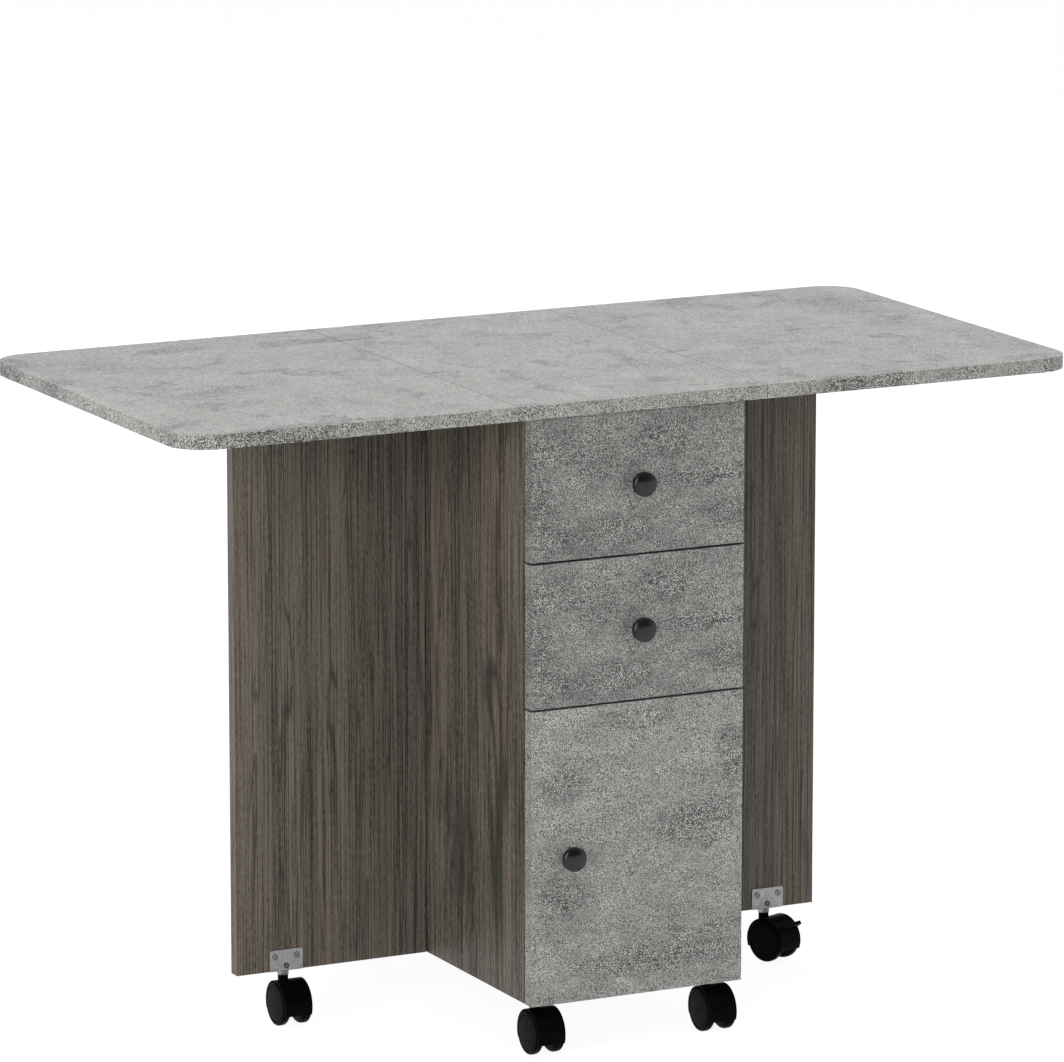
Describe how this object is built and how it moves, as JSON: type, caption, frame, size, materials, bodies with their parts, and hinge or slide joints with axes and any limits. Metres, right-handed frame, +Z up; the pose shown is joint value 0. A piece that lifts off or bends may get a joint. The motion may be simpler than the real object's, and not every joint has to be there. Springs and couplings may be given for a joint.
{
  "type": "folding dining table",
  "caption": "Folding dining table: slim cabinet on casters with drawers, a door, swing-out gates and hinged leaves, in concrete-look and dark wood-grain board.",
  "frame": {"origin": "on the floor under the middle of the open top", "axes": "+X along the front to the right, +Y to the back, +Z up"},
  "size_m": [1.117, 0.562, 0.75],
  "materials": {
    "concrete_laminate": "matt concrete-look laminate on chipboard",
    "wood_laminate": "matt dark grey-brown wood-grain laminate on chipboard",
    "drawer_board": "pale grey melamine chipboard",
    "hardboard": "painted hardboard",
    "beech": "bare beech",
    "zinc_steel": "zinc-plated steel",
    "black_metal": "satin black enamel",
    "black_plastic": "satin black moulded plastic"
  },
  "bodies": {
    "cabinet": {"left_side_panel": "wood_laminate", "right_side_panel": "wood_laminate", "bottom_panel": "wood_laminate", "back_panel": "wood_laminate", "divider_panel": "wood_laminate", "top_rails": "wood_laminate", "centre_top": "concrete_laminate", "gate_hinge_fixed_leaves": "zinc_steel", "gate_hinge_pins": "zinc_steel", "leaf_hinge_fixed_leaves": "zinc_steel", "leaf_hinge_pins": "zinc_steel", "cabinet_runners": "zinc_steel", "door_hinge_arms": "zinc_steel", "caster_sockets": "zinc_steel", "dowels": "beech"},
    "door": {"door_panel": "concrete_laminate", "door_knob": "black_metal", "door_hinge_cups": "zinc_steel"},
    "leaf_left": {"left_leaf": "concrete_laminate", "left_leaf_hinge_leaves": "zinc_steel"},
    "gate_left": {"left_gate": "wood_laminate", "left_gate_hinge_leaves": "zinc_steel", "left_gate_pad": "black_plastic", "left_gate_caster_bracket": "zinc_steel", "left_gate_bracket_screws": "zinc_steel"},
    "leaf_right": {"right_leaf": "concrete_laminate", "right_leaf_hinge_leaves": "zinc_steel"},
    "gate_right": {"right_gate": "wood_laminate", "right_gate_hinge_leaves": "zinc_steel", "right_gate_pad": "black_plastic", "right_gate_caster_bracket": "zinc_steel", "right_gate_bracket_screws": "zinc_steel"},
    "drawer_upper": {"upper_drawer_front": "concrete_laminate", "upper_drawer_left_side": "drawer_board", "upper_drawer_right_side": "drawer_board", "upper_drawer_back": "drawer_board", "upper_drawer_bottom": "hardboard", "upper_drawer_runners": "zinc_steel", "upper_drawer_knob": "black_metal"},
    "drawer_lower": {"lower_drawer_front": "concrete_laminate", "lower_drawer_left_side": "drawer_board", "lower_drawer_right_side": "drawer_board", "lower_drawer_back": "drawer_board", "lower_drawer_bottom": "hardboard", "lower_drawer_runners": "zinc_steel", "lower_drawer_knob": "black_metal"},
    "caster_front_left": {"front_left_caster_frame": "black_plastic"},
    "wheels_front_left": {"front_left_caster_wheels": "black_plastic"},
    "caster_front_right": {"front_right_caster_frame": "black_plastic"},
    "wheels_front_right": {"front_right_caster_wheels": "black_plastic"},
    "caster_rear_left": {"rear_left_caster_frame": "black_plastic"},
    "wheels_rear_left": {"rear_left_caster_wheels": "black_plastic"},
    "caster_rear_right": {"rear_right_caster_frame": "black_plastic"},
    "wheels_rear_right": {"rear_right_caster_wheels": "black_plastic"},
    "caster_left_gate": {"left_gate_caster_frame": "black_plastic"},
    "wheels_left_gate": {"left_gate_caster_wheels": "black_plastic"},
    "caster_right_gate": {"right_gate_caster_frame": "black_plastic"},
    "wheels_right_gate": {"right_gate_caster_wheels": "black_plastic"},
    "brake_lever": {"right_gate_brake_lever": "black_plastic"}
  },
  "joints": [
    {"name": "left_gate_swing", "type": "hinge", "parent": "cabinet", "child": "gate_left", "pos_m": [-0.1363, 0.0243, 0.39425], "axis": [0, 0, 1], "range_deg": [-90, 0]},
    {"name": "right_gate_swing", "type": "hinge", "parent": "cabinet", "child": "gate_right", "pos_m": [0.1363, 0.0243, 0.39425], "axis": [0, 0, -1], "range_deg": [-90, 0]},
    {"name": "left_leaf_lift", "type": "hinge", "parent": "cabinet", "child": "leaf_left", "pos_m": [-0.1555, 0, 0.7312], "axis": [0, 1, 0], "range_deg": [0, 1.5]},
    {"name": "right_leaf_lift", "type": "hinge", "parent": "cabinet", "child": "leaf_right", "pos_m": [0.1555, 0, 0.7312], "axis": [0, -1, 0], "range_deg": [0, 1.5]},
    {"name": "upper_drawer_slide", "type": "slide", "parent": "cabinet", "child": "drawer_upper", "axis": [0, -1, 0], "range_m": [0, 0.3]},
    {"name": "lower_drawer_slide", "type": "slide", "parent": "cabinet", "child": "drawer_lower", "axis": [0, -1, 0], "range_m": [0, 0.3]},
    {"name": "door_swing", "type": "hinge", "parent": "cabinet", "child": "door", "pos_m": [0.1261, -0.2577, 0.2307], "axis": [0, 0, 1], "range_deg": [0, 90]},
    {"name": "front_left_caster_swivel", "type": "hinge", "parent": "cabinet", "child": "caster_front_left", "pos_m": [-0.1092, -0.2237, 0.061], "axis": [0, 0, 1], "continuous": true},
    {"name": "front_left_wheel_roll", "type": "hinge", "parent": "caster_front_left", "child": "wheels_front_left", "pos_m": [-0.1092, -0.2402, 0.025], "axis": [1, 0, 0], "continuous": true},
    {"name": "front_right_caster_swivel", "type": "hinge", "parent": "cabinet", "child": "caster_front_right", "pos_m": [0.1092, -0.2237, 0.061], "axis": [0, 0, -1], "continuous": true},
    {"name": "front_right_wheel_roll", "type": "hinge", "parent": "caster_front_right", "child": "wheels_front_right", "pos_m": [0.1092, -0.2402, 0.025], "axis": [1, 0, 0], "continuous": true},
    {"name": "rear_left_caster_swivel", "type": "hinge", "parent": "cabinet", "child": "caster_rear_left", "pos_m": [-0.1092, 0.2237, 0.061], "axis": [0, 0, -1], "continuous": true},
    {"name": "rear_left_wheel_roll", "type": "hinge", "parent": "caster_rear_left", "child": "wheels_rear_left", "pos_m": [-0.1092, 0.2402, 0.025], "axis": [-1, 0, 0], "continuous": true},
    {"name": "rear_right_caster_swivel", "type": "hinge", "parent": "cabinet", "child": "caster_rear_right", "pos_m": [0.1092, 0.2237, 0.061], "axis": [0, 0, 1], "continuous": true},
    {"name": "rear_right_wheel_roll", "type": "hinge", "parent": "caster_rear_right", "child": "wheels_rear_right", "pos_m": [0.1092, 0.2402, 0.025], "axis": [-1, 0, 0], "continuous": true},
    {"name": "left_gate_caster_swivel", "type": "hinge", "parent": "gate_left", "child": "caster_left_gate", "pos_m": [-0.3128, 0.0135, 0.061], "axis": [0, 0, 1], "continuous": true},
    {"name": "left_gate_wheel_roll", "type": "hinge", "parent": "caster_left_gate", "child": "wheels_left_gate", "pos_m": [-0.3128, -0.003, 0.025], "axis": [1, 0, 0], "continuous": true},
    {"name": "right_gate_caster_swivel", "type": "hinge", "parent": "gate_right", "child": "caster_right_gate", "pos_m": [0.3128, 0.0135, 0.061], "axis": [0, 0, -1], "continuous": true},
    {"name": "right_gate_wheel_roll", "type": "hinge", "parent": "caster_right_gate", "child": "wheels_right_gate", "pos_m": [0.31831, -0.00205, 0.025], "axis": [0.9426, 0.3338, 0], "continuous": true},
    {"name": "brake_lever_lift", "type": "hinge", "parent": "caster_right_gate", "child": "brake_lever", "pos_m": [0.32357, -0.01691, 0.03731], "axis": [-0.9426, -0.3338, 0], "range_deg": [0, 12]}
  ]
}
